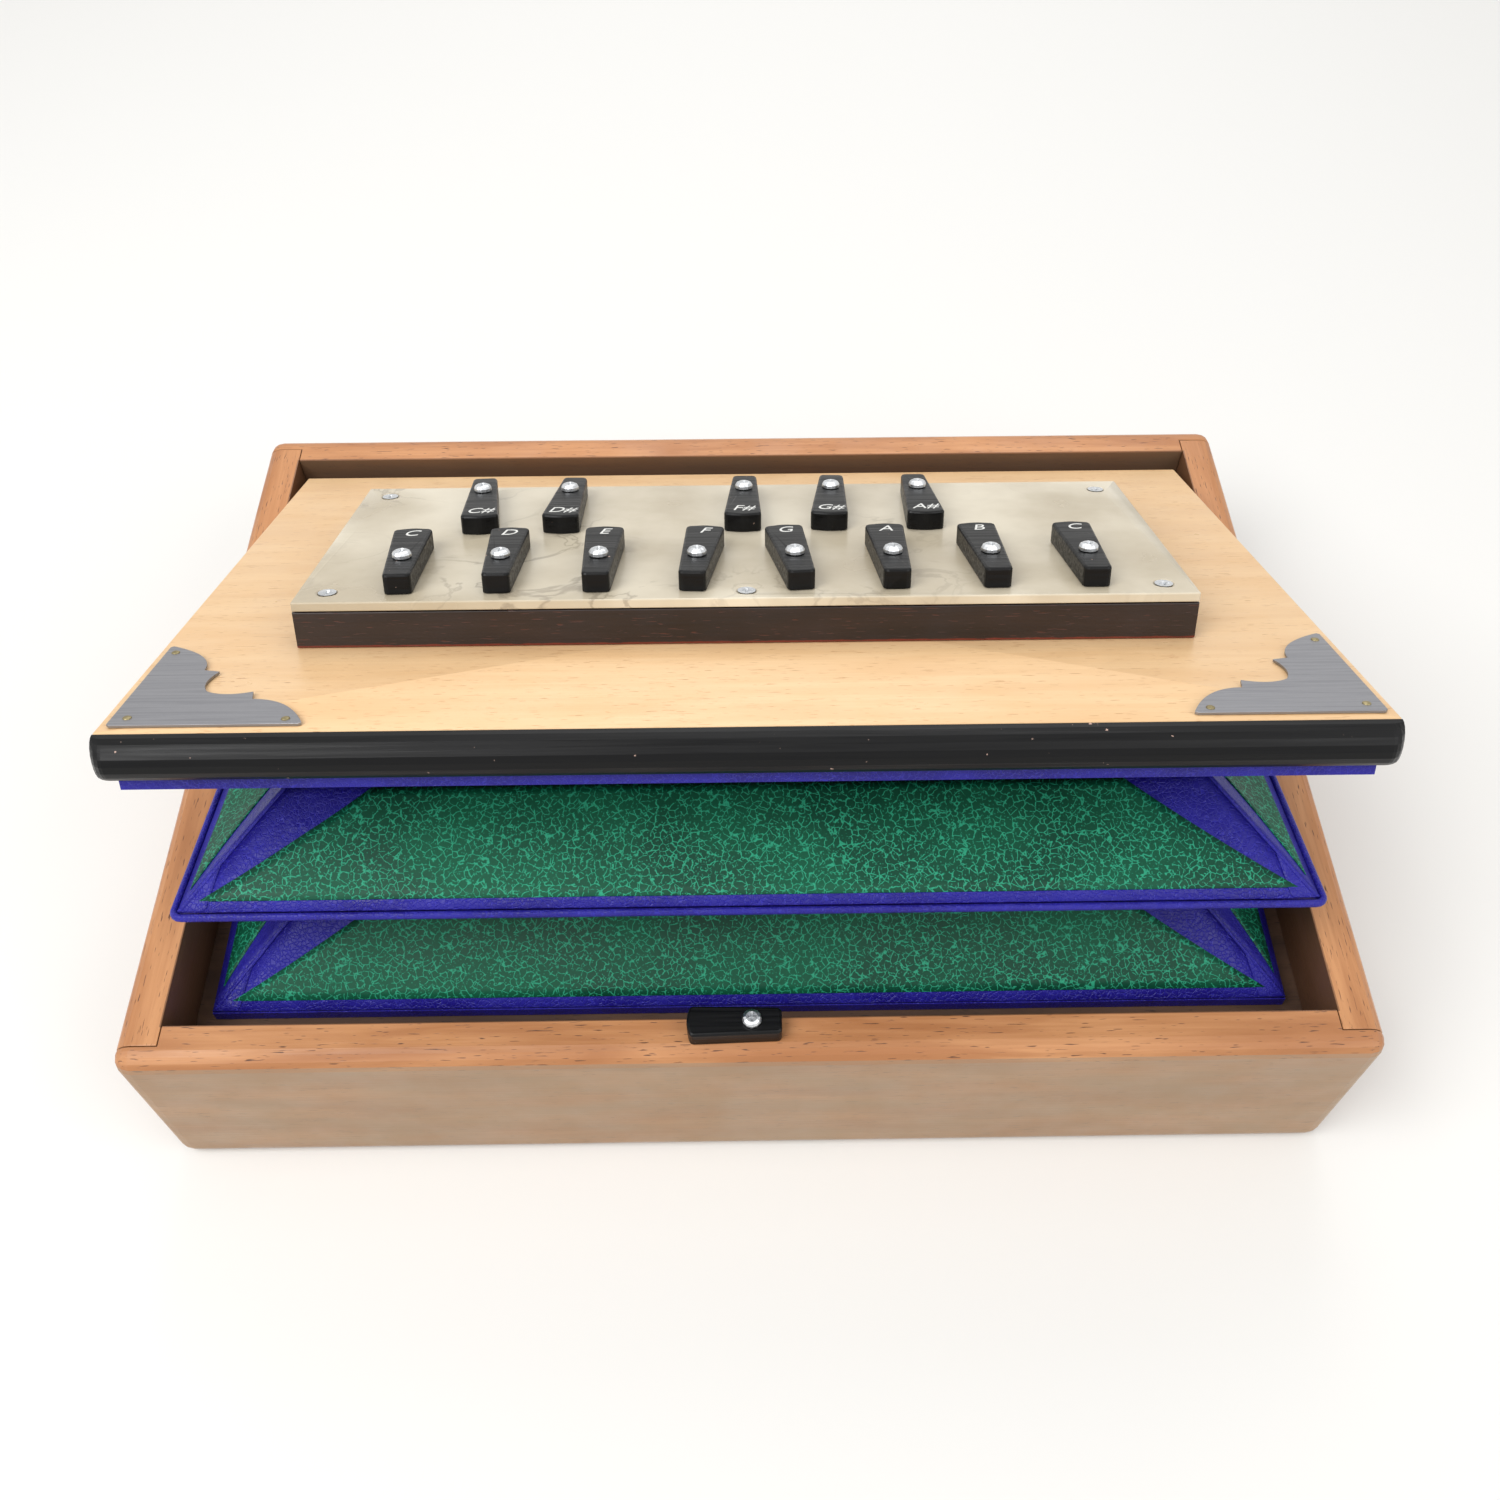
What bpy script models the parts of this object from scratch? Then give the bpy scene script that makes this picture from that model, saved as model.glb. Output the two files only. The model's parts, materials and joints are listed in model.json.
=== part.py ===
"""Shruti box: a beech tray, a lid that opens on a two-fold bellows, and thirteen note stops.

Units are metres, +Z is up and the front faces -Y. The box lies on its back with the lid
sprung open, which is the pose that every joint counts as zero.
"""
from math import acos, atan2, cos, pi, radians, sin, sqrt

import bmesh
import bpy
from mathutils import Matrix, Vector

# Fits
GAP = 0.0003
SCREW_FIT = 0.0003

# Tray
TRAY_W = 0.400
TRAY_D = 0.285
TRAY_H = 0.074
RAIL_T = 0.014
EDGE_ROUND = 0.0056
RABBET = 0.007
BOTTOM_T = 0.005
BOTTOM_LAP = 0.006
CHEST_BOARD_T = 0.006
CHEST_GROOVE = 0.004

# Lid and its hinge
LID_OPEN = radians(26.1)
LID_SIDE_ROOM = 0.005
LID_FRONT_ROOM = 0.002
LID_FLUSH = 0.0005
LID_T = 0.0137
HINGE_INSET = 0.016
HINGE_STRIP_T = 0.001
HINGE_STRIP_W = 0.009
NOSE_OUT = 0.007
NOSE_END_ROUND = 0.004

# Bellows
PACK_T = 0.0045
BASE_T = 0.0045
BASE_TAIL = 0.010
TOP_T = 0.0035
BASE_INSET = 0.0015
RIDGE_INSET = 0.0025
TOP_INSET = 0.0045
FRONT_INSET = 0.0057
TOP_OVERHANG = 0.0005
LEAF_W = 0.043
LEAF_T = 0.0008
LEAF_END_R = 0.013
RIDGE_T = 0.0026
RIDGE_DEPTH = 0.0024

# Air intake
INTAKE_HOLE_R = 0.006
INTAKE_PITCH = 0.034
INTAKE_COUNT = 3
INTAKE_REACH = 0.165
FLAP_T = 0.001
FLAP_W = 0.028
FLAP_MARGIN = 0.009
RETAINER_T = 0.0014
RETAINER_W = 0.006

# Return spring
SPRING_REACH = 0.112
SPRING_TURNS = 6
SPRING_BOTTOM_R = 0.016
SPRING_TOP_R = 0.008
SPRING_WIRE_R = 0.0009
SPRING_POCKET = 0.0042
SPRING_POCKET_ROOM = 0.0016

# Reed block and sound panel
BLOCK_W = 0.2786
BLOCK_D = 0.1126
BLOCK_T = 0.0117
BLOCK_FRONT = 0.056
PANEL_T = 0.003
CELL_W = 0.009
CELL_TAIL = 0.0095
CELL_HEAD = 0.006
REED_PLATE_T = 0.001
REED_PLATE_D = 0.026
REED_PLATE_MARGIN = 0.012
REED_W = 0.0026
REED_L = 0.018
REED_SLIT = 0.0006

# Stops and their screws
STOP_PITCH = 0.03097
STOP_T = 0.0065
STOP_HEAD = 0.0275
STOP_TAIL = 0.0152
STOP_WIDE = 0.0128
STOP_NARROW = 0.0085
STOP_CROWN = 0.0007
STOP_CORNER = 0.0016
STOP_EDGE = 0.0008
STOP_HOLE_BACK = 0.0078
TONE_HOLE_R = 0.0035
FRONT_ROW = 0.0205
REAR_ROW = 0.0873
SCREW_R = 0.0015
SCREW_HEAD_R = 0.0031
SCREW_HEAD_H = 0.0021
SCREW_BITE = 0.0085
PANEL_SCREW_R = 0.0013
PANEL_SCREW_HEAD_R = 0.0029
PANEL_SCREW_SINK = 0.0019
PANEL_SCREW_L = 0.0105
PANEL_SCREW_SIDE = 0.0093
PANEL_SCREW_FRONT = 0.0085
PANEL_SCREW_REAR = 0.0095
RECESS_L = 0.0034
RECESS_W = 0.0008
RECESS_DEPTH = 0.0010

# Corner plates
PLATE_T = 0.0008
PLATE_LEG = 0.054
PLATE_MARGIN = 0.0028
PLATE_TIP = 0.0022
PLATE_BARB_OUT = 0.0185
PLATE_BARB_IN = 0.0365
PLATE_LOBE = 0.0034
PLATE_BITE = 0.0078
NAIL_R = 0.0014
NAIL_H = 0.0007
NAIL_IN = 0.0036

# Turn-button on the front rail
LATCH_SETBACK = 0.010
LATCH_T = 0.0065
LATCH_HEAD = 0.0200
LATCH_TAIL = 0.0094
LATCH_WIDE = 0.0104
LATCH_NARROW = 0.0087
LATCH_BITE = 0.013

# Notes from left to right, with the angle at which each stop was left, in degrees
FRONT_NOTES = (("c_low", 3.5), ("d", 1.0), ("e", 0.0), ("f", -5.0),
               ("g", 6.0), ("a", 0.5), ("b", 1.5), ("c_high", 0.0))
REAR_NOTES = (("c_sharp", 0.5, 5.5), ("d_sharp", 1.5, -2.0), ("f_sharp", 3.5, -1.5),
              ("g_sharp", 4.5, -4.5), ("a_sharp", 5.5, 0.0))

# Worked out from the values above
INNER_W = TRAY_W - 2 * RAIL_T
FRONT_FACE = -TRAY_D / 2
FRONT_INNER = FRONT_FACE + RAIL_T
REAR_INNER = TRAY_D / 2 - RAIL_T
LID_STACK = TOP_T + GAP + LID_T
HINGE_Y = REAR_INNER - HINGE_INSET
HINGE_Z = TRAY_H - LID_FLUSH - LID_STACK
CHEST_TOP = HINGE_Z - PACK_T - BASE_T
LID_W = INNER_W - 2 * LID_SIDE_ROOM
LID_L = HINGE_Y - FRONT_INNER - LID_FRONT_ROOM - NOSE_OUT
BASE_HALF = LID_W / 2 - BASE_INSET
RIDGE_HALF = LID_W / 2 - RIDGE_INSET
TOP_HALF = LID_W / 2 - TOP_INSET
BASE_R = LID_L - FRONT_INSET
FAN_START = -atan2(PACK_T, BASE_R)
FAN_SPAN = LID_OPEN - FAN_START
LID_TOP = LID_STACK
BLOCK_Z = LID_TOP + GAP
PANEL_Z = BLOCK_Z + BLOCK_T + GAP
PANEL_TOP = PANEL_Z + PANEL_T
BLOCK_Y0 = -LID_L + BLOCK_FRONT
BLOCK_Y1 = BLOCK_Y0 + BLOCK_D
ROW_X0 = -3.5 * STOP_PITCH


def clear_scene():
    for item in list(bpy.data.objects):
        bpy.data.objects.remove(item, do_unlink=True)


def material(name, colour, roughness, metallic=0.0):
    """A Principled material with one colour."""
    made = bpy.data.materials.new(name)
    made.use_nodes = True
    shader = made.node_tree.nodes["Principled BSDF"]
    shader.inputs["Base Color"].default_value = (*colour, 1.0)
    shader.inputs["Roughness"].default_value = roughness
    shader.inputs["Metallic"].default_value = metallic
    return made


BEECH = ((0.60, 0.35, 0.17), 0.45)
PLY = ((0.52, 0.36, 0.20), 0.65)
VENEER = ((0.72, 0.50, 0.28), 0.40)
DARK_WOOD = ((0.025, 0.013, 0.010), 0.35)
BLACK_PAINT = ((0.008, 0.008, 0.009), 0.22)
GREEN_CLOTH = ((0.005, 0.16, 0.10), 0.50)
BLUE_LEATHER = ((0.035, 0.025, 0.30), 0.45)
CREAM_SHEET = ((0.70, 0.64, 0.50), 0.20)
TAN_LEATHER = ((0.36, 0.22, 0.12), 0.70)
ZINC = ((0.56, 0.57, 0.58), 0.30, 1.0)
BRASS = ((0.72, 0.52, 0.22), 0.30, 1.0)
STEEL = ((0.50, 0.50, 0.50), 0.35, 1.0)


def empty(name, location=(0, 0, 0), turn=(0, 0, 0), parent=None):
    """A parent with no shape, placed on a joint's axis."""
    pivot = bpy.data.objects.new(name, None)
    bpy.context.collection.objects.link(pivot)
    pivot.location = location
    pivot.rotation_euler = turn
    pivot.parent = parent
    return pivot


def add_part(name, mesh, finish, parent=None, location=(0, 0, 0), smooth=True):
    """Link a mesh as one named sub-part with its own material."""
    part = bpy.data.objects.new(name, mesh)
    bpy.context.collection.objects.link(part)
    part.parent = parent
    part.location = location
    mesh.materials.clear()
    mesh.materials.append(material(name + "_finish", *finish))
    if smooth:
        mesh.shade_smooth()
        mesh.set_sharp_from_angle(angle=radians(35))
    return part


def to_mesh(bm, name):
    bmesh.ops.recalc_face_normals(bm, faces=bm.faces)
    mesh = bpy.data.meshes.new(name)
    bm.to_mesh(mesh)
    bm.free()
    return mesh


def rectangle(x0, x1, y0, y1):
    return [(x0, y0), (x1, y0), (x1, y1), (x0, y1)]


def circle(x, y, radius, count=12):
    return [(x + radius * cos(2 * pi * i / count), y + radius * sin(2 * pi * i / count))
            for i in range(count)]


def arc(centre, radius, start, end, count):
    """Points on an arc from angle start to angle end, both ends kept."""
    return [(centre[0] + radius * cos(start + (end - start) * i / count),
             centre[1] + radius * sin(start + (end - start) * i / count))
            for i in range(count + 1)]


def prism_bmesh(outline, z0, z1, holes=()):
    """A flat outline with holes, filled and pulled up from z0 to z1."""
    bm = bmesh.new()
    for loop in (outline, *holes):
        ring = [bm.verts.new((x, y, z0)) for x, y in loop]
        for first, second in zip(ring, ring[1:] + ring[:1]):
            bm.edges.new((first, second))
    bmesh.ops.triangle_fill(bm, edges=bm.edges[:], use_beauty=True, use_dissolve=False)
    grown = bmesh.ops.extrude_face_region(bm, geom=bm.faces[:])
    lifted = [item for item in grown["geom"] if isinstance(item, bmesh.types.BMVert)]
    bmesh.ops.translate(bm, verts=lifted, vec=(0, 0, z1 - z0))
    return bm


def prism(name, outline, z0, z1, holes=()):
    return to_mesh(prism_bmesh(outline, z0, z1, holes), name)


def loft(name, rings):
    """Skin over closed rings of equal point count, capped at both ends."""
    bm = bmesh.new()
    rows = [[bm.verts.new(point) for point in ring] for ring in rings]
    for low, high in zip(rows, rows[1:]):
        for i in range(len(low)):
            j = (i + 1) % len(low)
            bm.faces.new((low[i], low[j], high[j], high[i]))
    bm.faces.new(rows[0])
    bm.faces.new(rows[-1])
    return to_mesh(bm, name)


def revolve(name, profile, count=12):
    """Turn a list of (radius, height) about Z; the first and last lie on the axis."""
    bm = bmesh.new()
    spine = [bm.verts.new((radius, 0, height)) for radius, height in profile]
    for low, high in zip(spine, spine[1:]):
        bm.edges.new((low, high))
    bmesh.ops.spin(bm, geom=bm.verts[:] + bm.edges[:], cent=(0, 0, 0), axis=(0, 0, 1),
                   angle=2 * pi, steps=count, use_merge=True)
    bmesh.ops.remove_doubles(bm, verts=bm.verts[:], dist=0.00001)
    return to_mesh(bm, name)


def cutter(name, mesh, parent=None, location=(0, 0, 0)):
    """A hidden shape that a Boolean takes away, keeps or adds."""
    tool = bpy.data.objects.new(name, mesh)
    bpy.context.collection.objects.link(tool)
    tool.parent = parent
    tool.location = location
    tool.hide_render = True
    tool.display_type = "WIRE"
    return tool


def boolean(part, tool, operation="DIFFERENCE"):
    step = part.modifiers.new(tool.name, "BOOLEAN")
    step.operation = operation
    step.solver = "EXACT"
    step.object = tool


def joined(name, meshes):
    """Several closed meshes as one, for a cutter that acts in many places."""
    bm = bmesh.new()
    for mesh in meshes:
        bm.from_mesh(mesh)
        bpy.data.meshes.remove(mesh)
    made = bpy.data.meshes.new(name)
    bm.to_mesh(made)
    bm.free()
    return made


def rounded_outline(corners, radii, steps=3):
    """A polygon with an arc of its own radius at each corner."""
    points = []
    count = len(corners)
    for i, corner in enumerate(corners):
        here = Vector(corner)
        before = (Vector(corners[i - 1]) - here).normalized()
        after = (Vector(corners[(i + 1) % count]) - here).normalized()
        half = acos(max(-1.0, min(1.0, before.dot(after)))) / 2
        reach = radii[i] / (sin(half) / cos(half))
        centre = here + (before + after).normalized() * (radii[i] / sin(half))
        start = here + before * reach - centre
        end = here + after * reach - centre
        a0 = atan2(start.y, start.x)
        a1 = atan2(end.y, end.x)
        if a1 - a0 > pi:
            a1 -= 2 * pi
        if a0 - a1 > pi:
            a1 += 2 * pi
        points += arc(centre, radii[i], a0, a1, steps)
    return points


# Tray
def rail_profile(outer, inner):
    """Section of a rail, from its outer face to its inner face, as (across, height)."""
    into = 1 if inner > outer else -1
    lap = inner - into * BOTTOM_LAP
    groove = inner - into * CHEST_GROOVE
    low = CHEST_TOP - CHEST_BOARD_T - GAP
    high = CHEST_TOP + GAP
    return [(outer, 0), (lap, 0), (lap, BOTTOM_T + GAP), (inner, BOTTOM_T + GAP),
            (inner, low), (groove, low), (groove, high), (inner, high),
            (inner, TRAY_H), (outer, TRAY_H)]


def tray_envelope():
    """The tray's whole outside, with its routed round edges, that every rail is cut to."""
    bm = bmesh.new()
    bmesh.ops.create_cube(bm, size=1.0)
    bmesh.ops.scale(bm, verts=bm.verts[:], vec=(TRAY_W, TRAY_D, TRAY_H))
    bmesh.ops.translate(bm, verts=bm.verts[:], vec=(0, 0, TRAY_H / 2))
    bmesh.ops.bevel(bm, geom=bm.edges[:], offset=EDGE_ROUND, offset_type="OFFSET", segments=4,
                    profile=0.5, affect="EDGES")
    return cutter("tray_envelope", to_mesh(bm, "tray_envelope"))


def long_rail(name, outer, inner, envelope):
    """Front or rear rail, notched at both ends for the side rails."""
    half = TRAY_W / 2
    section = rail_profile(outer, inner)
    rings = [[(x, y, z) for y, z in section] for x in (-half, half)]
    rail = add_part(name, loft(name, rings), BEECH)
    notch = outer + (RAIL_T - RABBET) * (1 if inner > outer else -1)
    beyond = inner + (RAIL_T if inner > outer else -RAIL_T)
    notches = []
    for side in (-1, 1):
        x0, x1 = sorted((side * (INNER_W / 2 - GAP), side * (half + RAIL_T)))
        y0, y1 = sorted((notch, beyond))
        notches.append(prism(name + "_notch", rectangle(x0, x1, y0, y1), -RAIL_T, TRAY_H + RAIL_T))
    boolean(rail, cutter(name + "_notches", joined(name + "_notches", notches)))
    boolean(rail, envelope, "INTERSECT")
    return rail


def side_rail(name, side, envelope):
    """Left or right rail, running from notch to notch."""
    reach = TRAY_D / 2 - (RAIL_T - RABBET) - GAP
    section = rail_profile(side * TRAY_W / 2, side * INNER_W / 2)
    rings = [[(x, y, z) for x, z in section] for y in (-reach, reach)]
    rail = add_part(name, loft(name, rings), BEECH)
    boolean(rail, envelope, "INTERSECT")
    return rail


def intake_holes(y, count=12):
    """Round holes in a row across the box, centred."""
    first = -(INTAKE_COUNT - 1) / 2
    return [circle((first + i) * INTAKE_PITCH, y, INTAKE_HOLE_R, count)
            for i in range(INTAKE_COUNT)]


def build_tray():
    envelope = tray_envelope()
    front = long_rail("front_rail", FRONT_FACE, FRONT_INNER, envelope)
    long_rail("rear_rail", -FRONT_FACE, REAR_INNER, envelope)
    side_rail("left_rail", -1, envelope)
    side_rail("right_rail", 1, envelope)
    hole_y = HINGE_Y - INTAKE_REACH
    half_x = INNER_W / 2 + BOTTOM_LAP - GAP
    half_y = REAR_INNER + BOTTOM_LAP - GAP
    board = prism("bottom_board", rectangle(-half_x, half_x, -half_y, half_y), 0, BOTTOM_T,
                  intake_holes(hole_y))
    add_part("bottom_board", board, PLY)
    half_x = INNER_W / 2 + CHEST_GROOVE - GAP
    half_y = REAR_INNER + CHEST_GROOVE - GAP
    board = prism("chest_board", rectangle(-half_x, half_x, -half_y, half_y),
                  CHEST_TOP - CHEST_BOARD_T, CHEST_TOP, intake_holes(hole_y))
    add_part("chest_board", board, PLY)
    return front


# Bellows
def fan_point(x, reach, share, lift=0.0):
    """A point of the bellows: its reach from the hinge, its share of the opening, and a lift."""
    angle = FAN_START + share * FAN_SPAN
    y = HINGE_Y - reach * cos(angle) + lift * sin(angle)
    z = HINGE_Z + reach * sin(angle) + lift * cos(angle)
    return (x, y, z)


def build_bellows_base():
    """The lower board, planed to a taper so that the folds lie evenly under the closed lid."""
    bottom = CHEST_TOP + GAP
    front = HINGE_Y - BASE_R
    rear = HINGE_Y + BASE_TAIL
    strip_seat = HINGE_Z - HINGE_STRIP_T - 2 * GAP
    section = [(front, bottom), (rear, bottom), (rear, strip_seat), (HINGE_Y + GAP, strip_seat),
               (HINGE_Y - GAP, HINGE_Z - GAP), (front, HINGE_Z - PACK_T)]
    rings = [[(x, y, z) for y, z in section] for x in (-BASE_HALF, BASE_HALF)]
    base = add_part("bellows_base", loft("bellows_base", rings), BLUE_LEATHER)
    cuts = [prism("intake", hole, CHEST_TOP - BASE_T, HINGE_Z + BASE_T)
            for hole in intake_holes(HINGE_Y - INTAKE_REACH)]
    pocket_floor = fan_point(0, SPRING_REACH, 0, -SPRING_POCKET)[2]
    pocket = circle(0, HINGE_Y - SPRING_REACH, SPRING_BOTTOM_R + SPRING_WIRE_R + SPRING_POCKET_ROOM, 20)
    cuts.append(prism("pocket", pocket, pocket_floor, HINGE_Z + BASE_T))
    boolean(base, cutter("bellows_base_cuts", joined("bellows_base_cuts", cuts)))


def build_hinge_strip():
    """The leather strip that hinges the lid, glued to the lower board behind the axis."""
    y0 = HINGE_Y + 2 * GAP
    top = HINGE_Z - GAP
    strip = prism("hinge_strip", rectangle(-BASE_HALF, BASE_HALF, y0, y0 + HINGE_STRIP_W),
                  top - HINGE_STRIP_T, top)
    add_part("hinge_strip", strip, BLUE_LEATHER)


def leaf_inset(reach):
    """How far a leaf's inner edge lies in from its outer edge, at a reach from the hinge."""
    rise = reach * FAN_SPAN / 4
    return sqrt(LEAF_W ** 2 - rise ** 2)


def leaf_rows(outer_half, outer_reach, outer_share, outer_lift, inner_share, inner_lift):
    """Outer and inner edges of one leaf, from the left rear end round to the right rear end."""
    step = FAN_SPAN / 4
    inner_reach = outer_reach * cos(step) - sqrt(LEAF_W ** 2 - (outer_reach * sin(step)) ** 2)
    reaches = [LEAF_END_R, outer_reach * 0.35, outer_reach * 0.7, outer_reach]
    outer = []
    inner = []
    for reach in reaches:
        corner = reach == outer_reach
        in_reach = inner_reach if corner else min(reach, inner_reach * reach / outer_reach + LEAF_END_R)
        half_in = RIDGE_HALF - leaf_inset(reach)
        outer.append(fan_point(-outer_half, reach, outer_share, outer_lift))
        inner.append(fan_point(-half_in, in_reach, inner_share, inner_lift))
    mirrored_outer = [(-x, y, z) for x, y, z in reversed(outer)]
    mirrored_inner = [(-x, y, z) for x, y, z in reversed(inner)]
    return outer + mirrored_outer, inner + mirrored_inner


def build_leaves():
    """Four card leaves, each folded round the front and both sides of the bellows."""
    part_gap = (LEAF_T + GAP) / 2 + 0.00005
    end_gap = LEAF_T / 2 + GAP
    tuck = RIDGE_DEPTH + GAP
    ridge_half = RIDGE_HALF - tuck
    ridge_reach = BASE_R - tuck
    leaves = (("leaf_1", BASE_HALF - GAP, BASE_R - GAP, 0, end_gap, 0.25, -part_gap),
              ("leaf_2", ridge_half, ridge_reach, 0.5, -part_gap, 0.25, part_gap),
              ("leaf_3", ridge_half, ridge_reach, 0.5, part_gap, 0.75, -part_gap),
              ("leaf_4", TOP_HALF - GAP, BASE_R - GAP, 1, -end_gap, 0.75, part_gap))
    for name, half, reach, share, lift, inner_share, inner_lift in leaves:
        outer, inner = leaf_rows(half, reach, share, lift, inner_share, inner_lift)
        bm = bmesh.new()
        rows = [[bm.verts.new(point) for point in row] for row in (outer, inner)]
        for i in range(len(outer) - 1):
            bm.faces.new((rows[0][i], rows[0][i + 1], rows[1][i + 1], rows[1][i]))
        leaf = add_part(name, to_mesh(bm, name), GREEN_CLOTH, smooth=False)
        skin = leaf.modifiers.new("card", "SOLIDIFY")
        skin.thickness = LEAF_T
        skin.offset = 0
        skin.use_even_offset = True


def build_ridge():
    """The leather-bound middle ridge that both folds share."""
    reach = BASE_R
    half = RIDGE_HALF
    section = [(0, -0.5), (0, 0.5), (-0.6, 0.5), (-0.88, 0.28), (-1, 0), (-0.88, -0.28), (-0.6, -0.5)]
    rings = []
    for side, station in ((-1, LEAF_END_R), (-1, reach), (1, reach), (1, LEAF_END_R)):
        at_corner = station == reach
        ring = []
        for out, up in section:
            grow = -out * RIDGE_DEPTH
            x = side * (half - RIDGE_DEPTH + grow)
            r = station - RIDGE_DEPTH + grow if at_corner else station
            ring.append(fan_point(x, r, 0.5, up * RIDGE_T))
        rings.append(ring)
    add_part("middle_ridge", loft("middle_ridge", rings), BLUE_LEATHER)


def build_intake():
    """The leather flap over the intake holes, and the strip that holds its rear edge."""
    lean = -FAN_START
    hinge_reach = INTAKE_REACH - FLAP_W / 2
    half = (INTAKE_COUNT - 1) / 2 * INTAKE_PITCH + INTAKE_HOLE_R + FLAP_MARGIN
    x, y, z = fan_point(0, hinge_reach, 0, GAP)
    pivot = empty("intake_pivot", (x, y, z), (lean, 0, 0))
    flap = prism("intake_flap", rectangle(-half, half, -FLAP_W, -GAP), 0, FLAP_T)
    add_part("intake_flap", flap, TAN_LEATHER, pivot)
    strip = prism("flap_strip", rectangle(-half, half, GAP, RETAINER_W), 0, RETAINER_T)
    add_part("flap_strip", strip, PLY, pivot)


def spring_path():
    """Centre line of the return spring, a cone of turns that fans open with the lid."""
    per_turn = 10
    count = SPRING_TURNS * per_turn
    low = SPRING_WIRE_R + GAP - SPRING_POCKET
    high = -SPRING_WIRE_R - GAP
    points = []
    for i in range(count + 1):
        share = i / count
        turn = 2 * pi * i / per_turn
        radius = SPRING_BOTTOM_R + (SPRING_TOP_R - SPRING_BOTTOM_R) * share
        lift = low + (high - low) * share
        points.append(Vector(fan_point(radius * sin(turn), SPRING_REACH + radius * cos(turn),
                                       share, lift)))
    return points


def least_gap(points, radius, skip):
    """Smallest clear distance between turns of a wire, measured on its centre points."""
    best = min((points[i] - points[j]).length
               for i in range(len(points)) for j in range(i + skip, len(points)))
    return best - 2 * radius


def build_spring():
    points = spring_path()
    print("return_spring least gap, mm:", round(least_gap(points, SPRING_WIRE_R, 6) * 1000, 2))
    rings = []
    for i, here in enumerate(points):
        ahead = points[min(i + 1, len(points) - 1)] - points[max(i - 1, 0)]
        along = ahead.normalized()
        across = along.cross(Vector((0, 0, 1))).normalized()
        up = across.cross(along)
        rings.append([here + across * (SPRING_WIRE_R * cos(pi * k / 3))
                      + up * (SPRING_WIRE_R * sin(pi * k / 3)) for k in range(6)])
    add_part("return_spring", loft("return_spring", rings), STEEL)


# Lid
def stop_places():
    """Each note's name, screw place on the lid, the way its wide end points, and its angle."""
    places = []
    for i, (note, angle) in enumerate(FRONT_NOTES):
        places.append((note, ROW_X0 + i * STOP_PITCH, BLOCK_Y0 + FRONT_ROW, 1, angle))
    for note, slot, angle in REAR_NOTES:
        places.append((note, ROW_X0 + slot * STOP_PITCH, BLOCK_Y0 + REAR_ROW, -1, angle))
    return places


def reed_slots(extra=0.0):
    """A slot through the lid for each reed, between its screw and its tone hole."""
    holes = []
    for note, x, y, way, angle in stop_places():
        middle = y + way * (STOP_HEAD - STOP_HOLE_BACK) / 2
        holes.append(rectangle(x - REED_W / 2 - REED_SLIT - extra, x + REED_W / 2 + REED_SLIT + extra,
                               middle - REED_L / 2 - REED_SLIT - extra,
                               middle + REED_L / 2 + REED_SLIT + extra))
    return holes


def build_lid_boards(lid):
    top = prism("bellows_top", rectangle(-TOP_HALF, TOP_HALF, -LID_L - TOP_OVERHANG, -GAP), 0, TOP_T,
                reed_slots())
    add_part("bellows_top", top, BLUE_LEATHER, lid)
    board = prism("lid_board", rectangle(-LID_W / 2, LID_W / 2, -LID_L, -GAP), TOP_T + GAP, LID_TOP,
                  reed_slots())
    add_part("lid_board", board, VENEER, lid)


def build_nose(lid):
    """The black half-round bar along the lid's front edge."""
    radius = LID_T / 2
    middle = TOP_T + GAP + radius
    seat = -LID_L - GAP
    steps = 10
    rings = []
    for x, share in ((-1, 0.55), (-0.6, 0.84), (-0.25, 0.97), (0, 1), (0, 1), (0.25, 0.97),
                     (0.6, 0.84), (1, 0.55)):
        centre = (LID_W / 2 - NOSE_END_ROUND) * (1 if len(rings) > 3 else -1)
        ring = []
        for i in range(steps + 1):
            angle = pi * i / steps
            out = NOSE_OUT * sin(angle) * share + GAP
            ring.append((centre + x * NOSE_END_ROUND, seat - out + GAP, middle + radius * cos(angle)))
        rings.append(ring)
    add_part("nose_bar", loft("nose_bar", rings), BLACK_PAINT, lid)


def plate_outline():
    """A scrolled corner plate, as distances in from the lid's side and front edges."""
    m = PLATE_MARGIN
    tip = (PLATE_LEG + m, m + PLATE_TIP)
    barb = (PLATE_BARB_IN + m, PLATE_BARB_OUT + m)
    lobe = bulge(tip, barb, PLATE_LOBE, 5)
    bite = bulge(barb, (barb[1], barb[0]), -PLATE_BITE, 8)
    half = [(m, m), (PLATE_LEG + m, m)] + lobe
    back = [(y, x) for x, y in reversed(lobe)]
    return half + bite[1:-1] + back + [(m, PLATE_LEG + m)]


def bulge(start, end, height, steps):
    """An arc from start to end that rises by height to the right of the line."""
    a = Vector(start)
    b = Vector(end)
    chord = b - a
    across = Vector((chord.y, -chord.x)).normalized()
    half = chord.length / 2
    radius = (half ** 2 + height ** 2) / (2 * abs(height))
    sign = 1 if height > 0 else -1
    centre = (a + b) / 2 - across * sign * (radius - abs(height))
    a0 = atan2(a.y - centre.y, a.x - centre.x)
    a1 = atan2(b.y - centre.y, b.x - centre.x)
    if a1 - a0 > pi:
        a1 -= 2 * pi
    if a0 - a1 > pi:
        a1 += 2 * pi
    return arc(centre, radius, a0, a1, steps)


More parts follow.
